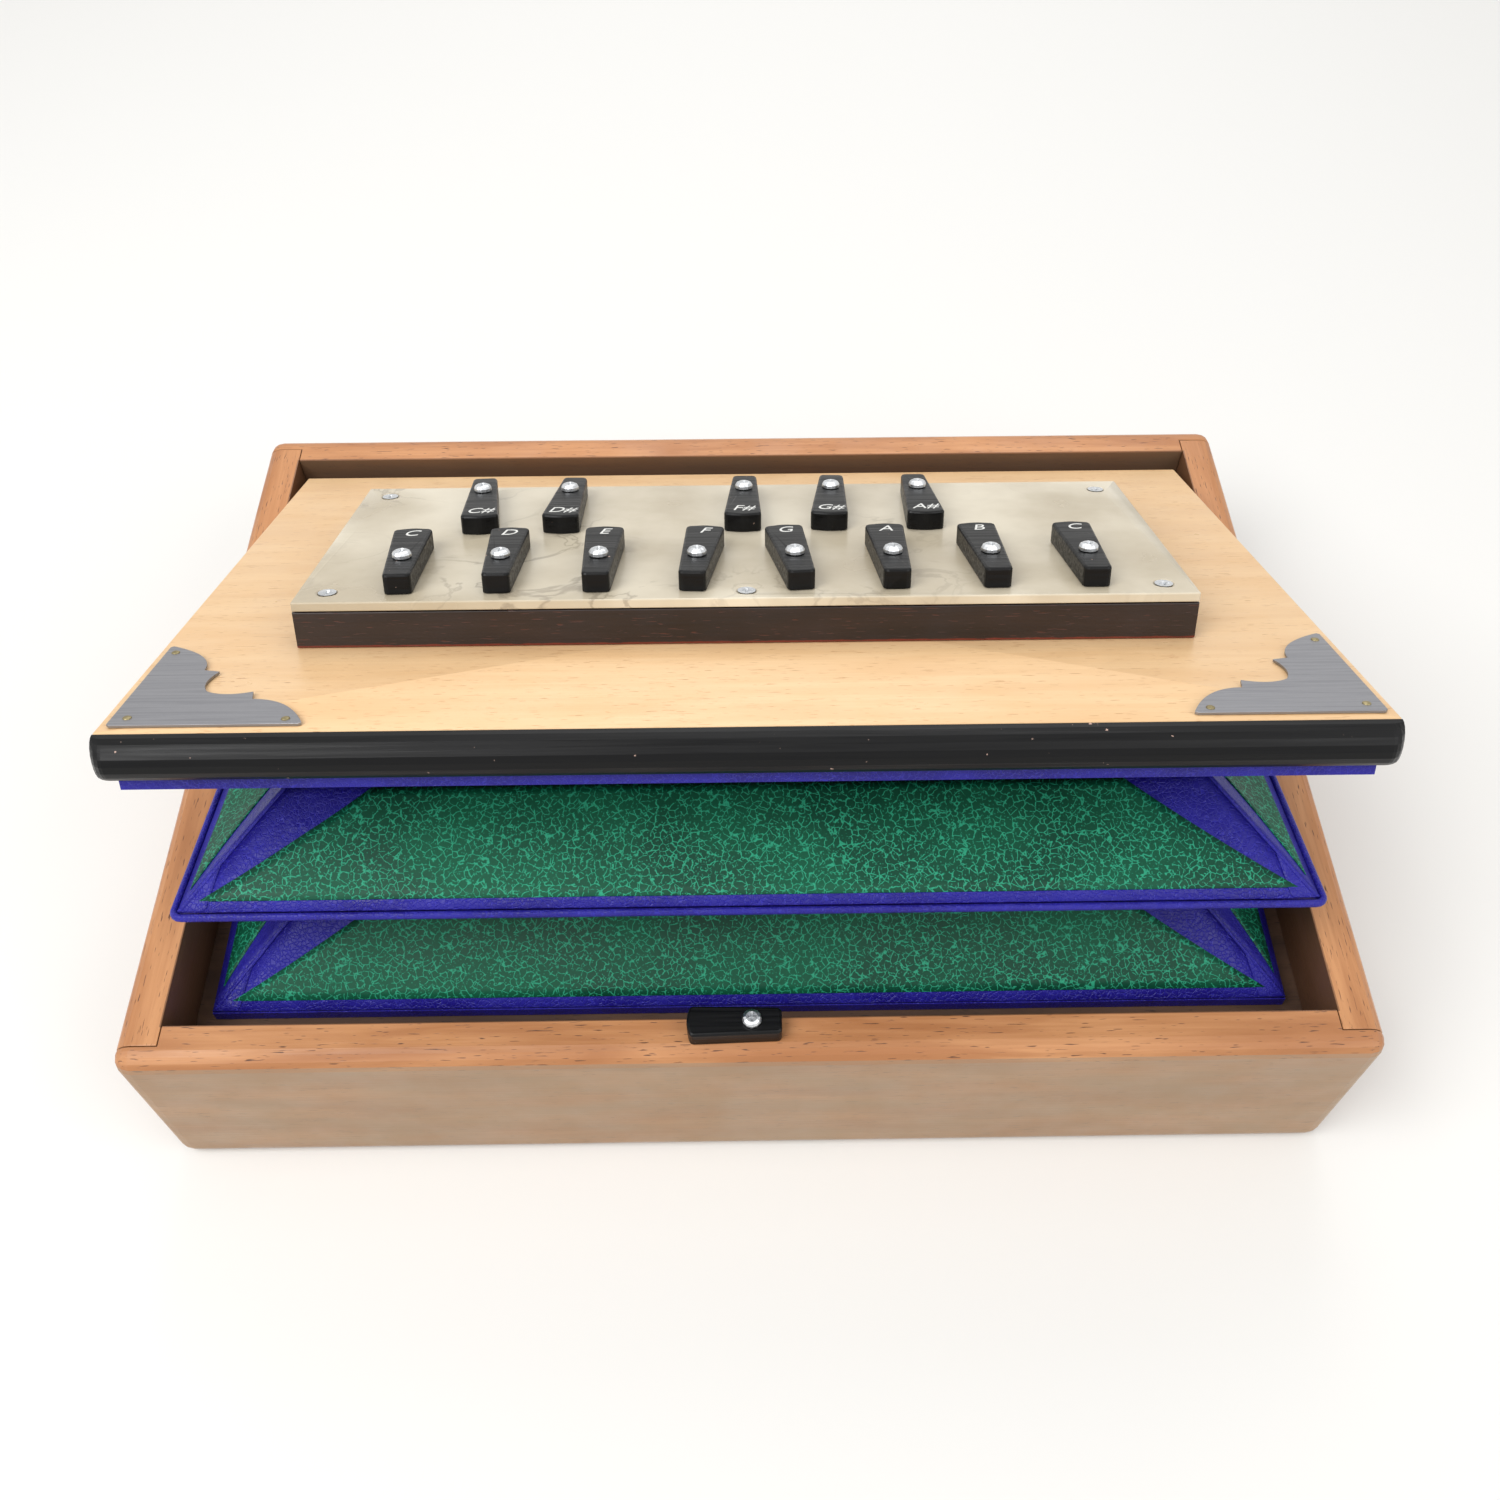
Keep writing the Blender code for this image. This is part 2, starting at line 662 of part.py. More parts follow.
def build_corner_plate(name, side, lid):
    """A thin plate over a front corner of the lid, with its three round nail heads."""
    base = LID_TOP + GAP
    outline = [(side * (LID_W / 2 - x), -LID_L + y) for x, y in plate_outline()]
    plate = add_part(name, prism(name, outline, base, base + PLATE_T), ZINC, lid)
    m = PLATE_MARGIN + NAIL_IN
    leg = PLATE_LEG + PLATE_MARGIN - NAIL_IN
    nails = []
    for x, y in ((m, m), (leg, PLATE_MARGIN + PLATE_TIP * 0.9), (PLATE_MARGIN + PLATE_TIP * 0.9, leg)):
        nail = revolve(name + "_nail", [(0, -PLATE_T / 2), (NAIL_R, -PLATE_T / 2), (NAIL_R, 0),
                                        (NAIL_R * 0.7, NAIL_H * 0.7), (0, NAIL_H)], 10)
        nail.transform(Matrix.Translation((side * (LID_W / 2 - x), -LID_L + y, base + PLATE_T)))
        nails.append(nail)
    boolean(plate, cutter(name + "_nails", joined(name + "_nails", nails), lid), "UNION")


def build_reed_block(lid):
    """The dark block with a cell under each stop, and the brass reed plates let into its foot."""
    half = BLOCK_W / 2
    cells = []
    for note, x, y, way, angle in stop_places():
        near = y + way * CELL_TAIL / 2
        far = y + way * (STOP_HEAD - STOP_HOLE_BACK + CELL_HEAD)
        cells.append(rectangle(x - CELL_W / 2, x + CELL_W / 2, min(near, far), max(near, far)))
    block = add_part("reed_block", prism("reed_block", rectangle(-half, half, BLOCK_Y0, BLOCK_Y1),
                                         BLOCK_Z, BLOCK_Z + BLOCK_T, cells), DARK_WOOD, lid)
    top = BLOCK_Z + BLOCK_T
    cuts = []
    for note, x, y, way, angle in stop_places():
        cuts.append(prism("pilot", circle(x, y, SCREW_R + SCREW_FIT, 10),
                          top - SCREW_BITE - GAP, top + PANEL_T))
    for x, y in panel_screw_places():
        cuts.append(prism("pilot", circle(x, y, PANEL_SCREW_R + SCREW_FIT, 10),
                          PANEL_TOP - PANEL_SCREW_L - GAP, top + PANEL_T))
    for row_y, x0, x1 in reed_plate_rows():
        cuts.append(prism("plate_seat", rectangle(x0 - GAP, x1 + GAP, row_y - REED_PLATE_D / 2 - GAP,
                                                  row_y + REED_PLATE_D / 2 + GAP),
                          BLOCK_Z - BLOCK_T, BLOCK_Z + REED_PLATE_T + GAP))
    boolean(block, cutter("reed_block_cuts", joined("reed_block_cuts", cuts), lid))


def reed_plate_rows():
    """Middle line and ends of the two reed plates."""
    shift = (STOP_HEAD - STOP_HOLE_BACK) / 2
    front = BLOCK_Y0 + FRONT_ROW + shift
    rear = BLOCK_Y0 + REAR_ROW - shift
    last = ROW_X0 + (len(FRONT_NOTES) - 1) * STOP_PITCH
    first_rear = ROW_X0 + REAR_NOTES[0][1] * STOP_PITCH
    last_rear = ROW_X0 + REAR_NOTES[-1][1] * STOP_PITCH
    margin = REED_PLATE_MARGIN
    return ((front, ROW_X0 - margin, last + margin), (rear, first_rear - margin, last_rear + margin))


def tongue_slit(x, y):
    """The U-shaped slit that leaves one reed tongue joined to its plate at one end."""
    outer_w = REED_W / 2 + REED_SLIT
    inner_w = REED_W / 2
    root = y - REED_L / 2
    tip = y + REED_L / 2
    return [(x - outer_w, root), (x - inner_w, root), (x - inner_w, tip - REED_SLIT),
            (x + inner_w, tip - REED_SLIT), (x + inner_w, root), (x + outer_w, root),
            (x + outer_w, tip), (x - outer_w, tip)]


def build_reed_plates(lid):
    z0 = LID_TOP + GAP
    for name, (row_y, x0, x1), way in zip(("reed_plate_front", "reed_plate_rear"),
                                          reed_plate_rows(), (1, -1)):
        slits = [tongue_slit(x, row_y) for note, x, y, facing, angle in stop_places() if facing == way]
        outline = rectangle(x0, x1, row_y - REED_PLATE_D / 2, row_y + REED_PLATE_D / 2)
        add_part(name, prism(name, outline, z0, z0 + REED_PLATE_T - GAP, slits), BRASS, lid)


def panel_screw_places():
    """Four screws near the panel's corners and one at the middle of its front edge."""
    side = BLOCK_W / 2 - PANEL_SCREW_SIDE
    front = BLOCK_Y0 + PANEL_SCREW_FRONT
    rear = BLOCK_Y1 - PANEL_SCREW_REAR
    return [(-side, front), (side, front), (-side, rear), (side, rear), (0, BLOCK_Y0 + 0.0065)]


def build_sound_panel(lid):
    """The cream sheet with a tone hole under each stop and its screw holes."""
    half = BLOCK_W / 2
    holes = []
    for note, x, y, way, angle in stop_places():
        holes.append(circle(x, y + way * (STOP_HEAD - STOP_HOLE_BACK), TONE_HOLE_R, 12))
        holes.append(circle(x, y, SCREW_R + SCREW_FIT, 8))
    for x, y in panel_screw_places():
        holes.append(circle(x, y, PANEL_SCREW_R + SCREW_FIT, 12))
    panel = prism("sound_panel", rectangle(-half, half, BLOCK_Y0, BLOCK_Y1), PANEL_Z, PANEL_TOP, holes)
    panel = add_part("sound_panel", panel, CREAM_SHEET, lid)
    sinks = []
    for x, y in panel_screw_places():
        sink = revolve("sink", [(0, -PANEL_SCREW_SINK), (PANEL_SCREW_R, -PANEL_SCREW_SINK),
                                (PANEL_SCREW_HEAD_R, 0), (PANEL_SCREW_HEAD_R, PANEL_SCREW_SINK),
                                (0, PANEL_SCREW_SINK)], 12)
        sink.transform(Matrix.Scale(1 + 2 * SCREW_FIT / PANEL_SCREW_HEAD_R, 4, (1, 0, 0))
                       @ Matrix.Scale(1 + 2 * SCREW_FIT / PANEL_SCREW_HEAD_R, 4, (0, 1, 0)))
        sink.transform(Matrix.Translation((x, y, PANEL_TOP)))
        sinks.append(sink)
    boolean(panel, cutter("sound_panel_sinks", joined("sound_panel_sinks", sinks), lid))


def recess_mesh():
    """The cross recess of a screw, as one closed shape hanging from z = 0."""
    a = RECESS_L / 2
    b = RECESS_W / 2
    cross = [(a, -b), (a, b), (b, b), (b, a), (-b, a), (-b, b), (-a, b), (-a, -b),
             (-b, -b), (-b, -a), (b, -a), (b, -b)]
    rings = [[(x * s, y * s, z) for x, y in cross]
             for s, z in ((0.55, -RECESS_DEPTH), (1.0, 0.0), (1.0, RECESS_DEPTH))]
    return loft("recess", rings)


def screw_mesh(name, profile, top):
    """A turned screw with its cross recess cut and the Boolean made final."""
    body = bpy.data.objects.new(name, revolve(name, profile))
    bpy.context.collection.objects.link(body)
    tool = cutter(name + "_recess", recess_mesh(), None, (0, 0, top))
    boolean(body, tool)
    bpy.context.view_layer.update()
    depsgraph = bpy.context.evaluated_depsgraph_get()
    mesh = bpy.data.meshes.new_from_object(body.evaluated_get(depsgraph))
    bpy.data.objects.remove(body, do_unlink=True)
    bpy.data.objects.remove(tool, do_unlink=True)
    return mesh


def pan_profile(shank):
    """Outline of a pan-head screw whose head sits on z = 0."""
    r = SCREW_R
    head = SCREW_HEAD_R
    h = SCREW_HEAD_H
    return [(0, -shank), (r * 0.5, -shank), (r, -shank + 2 * r), (r, 0), (head, 0),
            (head, h * 0.45), (head * 0.86, h * 0.8), (head * 0.6, h), (0, h)]


def sunk_profile():
    """Outline of a flush screw whose flat head is level with z = 0."""
    r = PANEL_SCREW_R
    return [(0, -PANEL_SCREW_L), (r * 0.5, -PANEL_SCREW_L), (r, -PANEL_SCREW_L + 2 * r),
            (r, -PANEL_SCREW_SINK), (PANEL_SCREW_HEAD_R, 0), (0, 0)]


def blade(head, tail, wide, narrow):
    """Outline of a tapered stop about its screw, wide end towards +Y."""
    corners = [(-narrow / 2, -tail), (narrow / 2, -tail), (wide / 2, head - STOP_CROWN),
               (0, head + STOP_CROWN), (-wide / 2, head - STOP_CROWN)]
    radii = [STOP_CORNER, STOP_CORNER, STOP_CORNER, wide, STOP_CORNER]
    radii[3] = 0.010
    return rounded_outline(corners, radii, 3)


def blade_mesh(name, outline, thickness):
    """A stop's solid: straight sides, a rounded top edge and the screw's bore."""
    inner = inset_outline(outline, STOP_EDGE)
    middle = inset_outline(outline, STOP_EDGE * 0.3)
    bore = circle(0, 0, SCREW_R + SCREW_FIT, 10)
    bm = bmesh.new()
    levels = ((outline, 0), (outline, thickness - STOP_EDGE),
              (middle, thickness - STOP_EDGE * 0.3), (inner, thickness))
    rows = [[bm.verts.new((x, y, z)) for x, y in ring] for ring, z in levels]
    for low, high in zip(rows, rows[1:]):
        for i in range(len(low)):
            j = (i + 1) % len(low)
            bm.faces.new((low[i], low[j], high[j], high[i]))
    walls = [[bm.verts.new((x, y, z)) for x, y in bore] for z in (0, thickness)]
    for i in range(len(bore)):
        j = (i + 1) % len(bore)
        bm.faces.new((walls[0][i], walls[1][i], walls[1][j], walls[0][j]))
    for ring, hole in ((rows[0], walls[0]), (rows[-1], walls[1])):
        edges = [bm.edges.get((first, second)) for loop in (ring, hole)
                 for first, second in zip(loop, loop[1:] + loop[:1])]
        bmesh.ops.triangle_fill(bm, edges=edges, use_beauty=True, use_dissolve=False)
    return to_mesh(bm, name)


def inset_outline(outline, distance):
    """The same outline drawn in by a distance."""
    made = []
    count = len(outline)
    for i, point in enumerate(outline):
        here = Vector(point)
        tangent = (Vector(outline[(i + 1) % count]) - Vector(outline[i - 1])).normalized()
        made.append(tuple(here + Vector((-tangent.y, tangent.x)) * distance))
    return made


def build_stops(lid):
    """Thirteen tapered stops, each on its own pan-head screw."""
    outline = blade(STOP_HEAD, STOP_TAIL, STOP_WIDE, STOP_NARROW)
    stop = blade_mesh("stop", outline, STOP_T)
    screw = screw_mesh("stop_screw", pan_profile(STOP_T + PANEL_T + 3 * GAP + SCREW_BITE), SCREW_HEAD_H)
    seat = PANEL_TOP + GAP
    for note, x, y, way, angle in stop_places():
        turn = radians(angle) + (0 if way > 0 else pi)
        pivot = empty("stop_pivot_" + note, (x, y, seat), (0, 0, turn), lid)
        add_part("stop_" + note, stop.copy(), BLACK_PAINT, pivot)
        add_part("screw_" + note, screw.copy(), ZINC, lid, (x, y, seat + STOP_T + GAP))


def build_panel_screws(lid):
    screw = screw_mesh("panel_screw", sunk_profile(), 0)
    for i, (x, y) in enumerate(panel_screw_places()):
        add_part("panel_screw_%d" % (i + 1), screw.copy(), ZINC, lid, (x, y, PANEL_TOP))


def build_lid():
    lid = empty("lid_pivot", (0, HINGE_Y, HINGE_Z), (-LID_OPEN, 0, 0))
    build_lid_boards(lid)
    build_nose(lid)
    build_corner_plate("corner_plate_left", -1, lid)
    build_corner_plate("corner_plate_right", 1, lid)
    build_reed_block(lid)
    build_reed_plates(lid)
    build_sound_panel(lid)
    build_panel_screws(lid)
    build_stops(lid)


# Turn-button
def build_latch(front_rail):
    """The button that turns over the closed lid's nose, and its screw into the front rail."""
    y = FRONT_FACE + LATCH_SETBACK
    pivot = empty("latch_pivot", (0, y, TRAY_H + GAP), (0, 0, pi / 2))
    outline = blade(LATCH_HEAD, LATCH_TAIL, LATCH_WIDE, LATCH_NARROW)
    add_part("latch_button", blade_mesh("latch_button", outline, LATCH_T), BLACK_PAINT, pivot)
    shank = LATCH_T + LATCH_BITE + 2 * GAP
    screw = screw_mesh("latch_screw", pan_profile(shank), SCREW_HEAD_H)
    add_part("latch_screw", screw, ZINC, None, (0, y, TRAY_H + LATCH_T + 2 * GAP))
    pilot = prism("latch_pilot", circle(0, y, SCREW_R + SCREW_FIT, 10),
                  TRAY_H - LATCH_BITE - GAP, TRAY_H + LATCH_BITE)
    boolean(front_rail, cutter("latch_pilot", pilot))


clear_scene()
front = build_tray()
build_bellows_base()
build_hinge_strip()
build_leaves()
build_ridge()
build_intake()
build_spring()
build_lid()
build_latch(front)
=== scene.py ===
# %% [markdown]
# # Shruti box
# A shruti box is a small bellows organ that drones behind a singer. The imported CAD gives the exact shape
# of this one. The whole could be modelled again for the camera, but then it would drift from the part. So
# this lesson keeps the CAD's pieces, gives each a procedural finish, and draws only what the CAD
# simplifies: the bellows' skins, the corner plates' outlines and the note letters.

# %% Load the frame
import bpy
import bmesh
import json
from math import atan2, cos, radians, sin, sqrt
from mathutils import Matrix, Vector
from mathutils.bvhtree import BVHTree
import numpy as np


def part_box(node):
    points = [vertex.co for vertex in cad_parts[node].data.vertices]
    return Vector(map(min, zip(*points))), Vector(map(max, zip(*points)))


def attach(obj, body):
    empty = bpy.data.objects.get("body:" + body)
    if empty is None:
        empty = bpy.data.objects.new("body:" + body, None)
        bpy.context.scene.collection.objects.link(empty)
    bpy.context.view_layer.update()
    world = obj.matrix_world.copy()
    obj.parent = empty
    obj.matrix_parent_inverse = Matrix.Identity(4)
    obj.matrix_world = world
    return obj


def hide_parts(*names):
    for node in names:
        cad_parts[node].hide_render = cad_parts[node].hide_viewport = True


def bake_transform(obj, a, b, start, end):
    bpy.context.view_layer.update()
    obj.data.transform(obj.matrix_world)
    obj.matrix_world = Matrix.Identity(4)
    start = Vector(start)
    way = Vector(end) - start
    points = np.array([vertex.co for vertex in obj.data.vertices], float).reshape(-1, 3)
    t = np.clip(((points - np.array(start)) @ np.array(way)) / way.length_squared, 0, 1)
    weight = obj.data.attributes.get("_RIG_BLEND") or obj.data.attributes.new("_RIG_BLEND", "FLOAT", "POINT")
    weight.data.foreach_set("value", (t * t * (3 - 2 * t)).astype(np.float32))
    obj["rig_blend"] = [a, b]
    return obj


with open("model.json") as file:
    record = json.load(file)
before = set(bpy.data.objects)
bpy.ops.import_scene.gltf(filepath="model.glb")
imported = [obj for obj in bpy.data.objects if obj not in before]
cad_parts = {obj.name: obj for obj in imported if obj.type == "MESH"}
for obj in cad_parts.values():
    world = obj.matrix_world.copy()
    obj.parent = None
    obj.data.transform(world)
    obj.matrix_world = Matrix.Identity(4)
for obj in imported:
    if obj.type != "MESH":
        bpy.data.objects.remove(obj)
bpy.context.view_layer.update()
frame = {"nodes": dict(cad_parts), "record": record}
NODES = frame["nodes"]
HINGE_Y, HINGE_Z = 0.1125, 0.056
LID_OPEN = radians(26.1)
FAN_START = radians(-1.139)
FAN_SPAN = LID_OPEN - FAN_START
LEAF_W, LEAF_T, LEAF_END_R = 0.043, 0.0008, 0.013
BASE_HALF, BASE_R, RIDGE_HALF, TOP_HALF = 0.1795, 0.2263, 0.1785, 0.1765
RIDGE_T, RIDGE_DEPTH, GAP = 0.0026, 0.0024, 0.0003

# %% [markdown]
# ## Node helpers
# A material is a tree of nodes. It could be wired by hand in the editor, but a script is easier to
# repeat. One helper adds a shader node and fills its sockets, so that each material reads as a short
# recipe. A keyword such as i0 means the socket with that number, and any other keyword is the socket's
# label.

# %% Shader helpers
def add(tree, kind, settings=None, **sockets):
    n = tree.nodes.new("ShaderNode" + kind)
    for key, value in (settings or {}).items():
        setattr(n, key, value)
    for key, value in sockets.items():
        numbered = key[0] == "i" and key[1:].isdigit()
        socket = n.inputs[int(key[1:]) if numbered else key.replace("_", " ")]
        if isinstance(value, bpy.types.NodeSocket):
            tree.links.new(value, socket)
        else:
            socket.default_value = value
    return n


def group(name, inputs, outputs):
    g = bpy.data.node_groups.new(name, "ShaderNodeTree")
    for label, kind in inputs:
        g.interface.new_socket(label, in_out="INPUT", socket_type="NodeSocket" + kind)
    for label, kind in outputs:
        g.interface.new_socket(label, in_out="OUTPUT", socket_type="NodeSocket" + kind)
    return g, g.nodes.new("NodeGroupInput"), g.nodes.new("NodeGroupOutput")


def scaled(tree, vector, by):
    return add(tree, "VectorMath", {"operation": "MULTIPLY"}, i0=vector, i1=by).outputs[0]


def ramp(tree, value, low, high, to_low=0.0, to_high=1.0):
    n = add(tree, "MapRange", {"interpolation_type": "SMOOTHSTEP"}, Value=value)
    n.inputs["From Min"].default_value = low
    n.inputs["From Max"].default_value = high
    n.inputs["To Min"].default_value = to_low
    n.inputs["To Max"].default_value = to_high
    return n.outputs[0]


def mixed(tree, factor, a, b):
    return add(tree, "Mix", {"data_type": "RGBA"}, i0=factor, i6=a, i7=b).outputs[2]


def rgb(r, g, b):
    return tuple(((c / 255 + 0.055) / 1.055) ** 2.4 for c in (r, g, b)) + (1.0,)


def finish_of(name):
    m = bpy.data.materials.new(name)
    m.use_nodes = True
    t = m.node_tree
    return m, t, t.nodes["Principled BSDF"], add(t, "TexCoord").outputs["Object"]


def bumped(tree, shader, height, strength, distance):
    b = add(tree, "Bump", Height=height, Strength=strength, Distance=distance)
    tree.links.new(b.outputs[0], shader.inputs["Normal"])

# %% [markdown]
# ## Shared effects
# An effect that several materials share is built once, as a node group. Wood figure mixes broad bands
# along the grain with the short dark flecks that beech has. Crinkle gives leather its cells and creases.
# Image textures would also do, but noise in real metres needs no files and fits any piece.

# %% Wood and crinkle groups
FLECK_LEVEL = (0.66, 0.74)
WOOD, gi, go = group("Wood figure", [("Vector", "Vector"), ("Light", "Color"), ("Dark", "Color"),
                                     ("Fleck", "Color")], [("Colour", "Color"), ("Height", "Float")])
bands = add(WOOD, "TexNoise", Vector=gi.outputs[0], Scale=1.0, Detail=5.0, Distortion=0.5).outputs[0]
fine = add(WOOD, "TexNoise", Vector=scaled(WOOD, gi.outputs[0], (2, 9, 9)), Scale=1.0, Detail=3.0).outputs[0]
short = scaled(WOOD, gi.outputs[0], (14, 20, 20))
flecks = add(WOOD, "TexNoise", Vector=short, Scale=1.0, Detail=1.0).outputs[0]
body = mixed(WOOD, ramp(WOOD, bands, 0.3, 0.7), gi.outputs[2], gi.outputs[1])
body = mixed(WOOD, ramp(WOOD, fine, 0.35, 0.75, 0.0, 0.35), body, gi.outputs[2])
mask = ramp(WOOD, flecks, *FLECK_LEVEL)
WOOD.links.new(mixed(WOOD, mask, body, gi.outputs[3]), go.inputs[0])
WOOD.links.new(add(WOOD, "Math", {"operation": "SUBTRACT"}, i0=fine, i1=mask).outputs[0], go.inputs[1])

CRINKLE, gi, go = group("Crinkle", [("Vector", "Vector"), ("Size", "Float")],
                        [("Height", "Float"), ("Crease", "Float")])
warp = add(CRINKLE, "TexNoise", Vector=gi.outputs[0], Scale=260.0, Detail=3.0).outputs["Color"]
moved = add(CRINKLE, "VectorMath", {"operation": "MULTIPLY_ADD"}, i0=warp, i1=(0.003,) * 3, i2=gi.outputs[0])
cell = add(CRINKLE, "TexVoronoi", {"feature": "DISTANCE_TO_EDGE"}, Vector=moved.outputs[0],
           Scale=gi.outputs[1]).outputs["Distance"]
soft = add(CRINKLE, "TexNoise", Vector=gi.outputs[0], Scale=900.0, Detail=4.0).outputs[0]
crease = ramp(CRINKLE, cell, 0.0, 0.12, 1.0, 0.0)
CRINKLE.links.new(add(CRINKLE, "Math", {"operation": "SUBTRACT"}, i0=soft, i1=crease).outputs[0], go.inputs[0])
CRINKLE.links.new(crease, go.inputs[1])
print("groups made:", WOOD.name, CRINKLE.name)

# %% [markdown]
# ## Materials
# The rails are warm beech with dark flecks, and the lid is a paler veneer. Upright faces are painted greyer
# than the rims, as painted shade, and the inside of the box is painted darker towards its floor, as painted
# shade in the recess. Each of these could be a material of its own. One function with a few colours keeps them
# a family.

# %% Woods
GRAIN = (14, 110, 110)
INNER_X, INNER_Y = 0.1866, 0.1291
# dark brown of the painted shade inside the box
INTERIOR_SHADE = (72, 46, 32)


def wood(name, light, dark, fleck, along_x=True, rough=0.42, upright_shade=None):
    m, t, p, at = finish_of(name)
    grain = at if along_x else add(t, "Mapping", Vector=at, Rotation=(0, 0, radians(90))).outputs[0]
    w = add(t, "Group", {"node_tree": WOOD}, Light=rgb(*light), Dark=rgb(*dark), Fleck=rgb(*fleck),
            Vector=scaled(t, grain, GRAIN))
    colour = w.outputs[0]
    if upright_shade:
        # painted shade: faces that do not face up are mixed toward a greyer colour, as if lit less than the
        # rims
        z = add(t, "SeparateXYZ", Vector=add(t, "NewGeometry").outputs["Normal"]).outputs[2]
        cloud = add(t, "TexNoise", Vector=scaled(t, at, (26, 26, 90)), Scale=1.0, Detail=8.0).outputs[0]
        upright = add(t, "Math", {"operation": "MULTIPLY"}, i0=ramp(t, z, 0.0, 0.6, 1.0, 0.0),
                      i1=ramp(t, cloud, 0.2, 0.8, 0.6, 0.9)).outputs[0]
        colour = mixed(t, upright, colour, rgb(*upright_shade))
        # painted shade: inside the rails the wood is mixed toward a dark brown, more strongly lower down in
        # the box, for the shade in the tray's recess
        spot = add(t, "SeparateXYZ", Vector=at).outputs
        near = []
        for axis, limit in ((0, INNER_X), (1, INNER_Y)):
            size = add(t, "Math", {"operation": "ABSOLUTE"}, i0=spot[axis]).outputs[0]
            near.append(ramp(t, size, limit - 0.0002, limit, 1.0, 0.0))
        inside = add(t, "Math", {"operation": "MULTIPLY"}, i0=near[0], i1=near[1]).outputs[0]
        depth = ramp(t, spot[2], 0.04, 0.078, 0.95, 0.6)
        deep_shade = add(t, "Math", {"operation": "MULTIPLY"}, i0=inside, i1=depth)
        colour = mixed(t, deep_shade.outputs[0], colour, rgb(*INTERIOR_SHADE))
    t.links.new(colour, p.inputs["Base Color"])
    rub = add(t, "TexNoise", Vector=at, Scale=60.0, Detail=4.0).outputs[0]
    t.links.new(ramp(t, rub, 0.2, 0.8, rough - 0.1, rough + 0.12), p.inputs["Roughness"])
    bumped(t, p, w.outputs[1], 0.25, 0.0003)
    return m


# the last colour of each beech is the painted shade of its upright faces
BEECH_X = wood("beech along", (202, 144, 96), (168, 110, 66), (92, 56, 34), upright_shade=(158, 134, 106))
BEECH_Y = wood("beech across", (202, 144, 96), (168, 110, 66), (92, 56, 34), False, upright_shade=(150, 108, 74))
VENEER = wood("veneer", (230, 194, 148), (222, 182, 134), (190, 144, 98), rough=0.36)
PLY = wood("plywood", (92, 64, 44), (66, 44, 30), (44, 28, 20), rough=0.7)
STAINED = wood("stained wood", (40, 26, 23), (24, 15, 14), (70, 36, 27), rough=0.36)
print("woods:", [m.name for m in (BEECH_X, BEECH_Y, VENEER, PLY, STAINED)])

# %% [markdown]
# The nose bar, the stops and the turn-button are brushed with black paint. Streaks along the brush change
# the gloss, and small pale chips show the ground. The chips could be cut into the mesh, but they are
# thinner than the paint, so colour is enough.

# %% Black paint
def paint(name, speck):
    m, t, p, at = finish_of(name)
    streak = add(t, "TexNoise", Vector=scaled(t, at, (25, 900, 900)), Scale=1.0, Detail=5.0).outputs[0]
    worn = ramp(t, add(t, "TexNoise", Vector=at, Scale=420.0, Detail=5.0).outputs[0], speck, speck + 0.03)
    chip = ramp(t, add(t, "TexNoise", Vector=at, Scale=120.0, Detail=6.0).outputs[0], 0.74, 0.75)
    worn = add(t, "Math", {"operation": "MAXIMUM"}, i0=worn, i1=chip).outputs[0]
    t.links.new(mixed(t, worn, rgb(9, 9, 10), rgb(190, 160, 146)), p.inputs["Base Color"])
    t.links.new(ramp(t, streak, 0.25, 0.75, 0.24, 0.5), p.inputs["Roughness"])
    p.inputs["Specular IOR Level"].default_value = 0.2
    bumped(t, p, streak, 0.35, 0.0002)
    return m


# %% [markdown]
# The bindings are thin leather. The same recipe with a lighter tan serves for the intake flap, and with
# white for the letters' filling. Broad folds and fine creases go into one bump, as both catch the light
# alike.

# %% Leather
def hide(name, base, light, size, rough, depth=0.0003):
    m, t, p, at = finish_of(name)
    c = add(t, "Group", {"node_tree": CRINKLE}, Vector=at, Size=size)
    cloud = add(t, "TexNoise", Vector=at, Scale=45.0, Detail=4.0).outputs[0]
    body = mixed(t, ramp(t, cloud, 0.3, 0.7, 0.0, 0.5), rgb(*base), rgb(*light))
    part = add(t, "Math", {"operation": "MULTIPLY"}, i0=c.outputs[1], i1=0.7).outputs[0]
    t.links.new(mixed(t, part, body, rgb(*light)), p.inputs["Base Color"])
    t.links.new(ramp(t, cloud, 0.2, 0.8, rough - 0.1, rough + 0.1), p.inputs["Roughness"])
    p.inputs["Specular IOR Level"].default_value = 0.35
    folds = add(t, "TexNoise", Vector=at, Scale=110.0, Detail=2.0, Distortion=1.5).outputs[0]
    height = add(t, "Math", {"operation": "MULTIPLY_ADD"}, i0=folds, i1=2.5, i2=c.outputs[0]).outputs[0]
    bumped(t, p, height, 0.6, depth)
    return m


# %% [markdown]
# The green panels are leathercloth, printed with pale worm-like marks and dots. The creases of the shared
# group are broken up by noise into short marks, which is nearer to the print than an unbroken net.

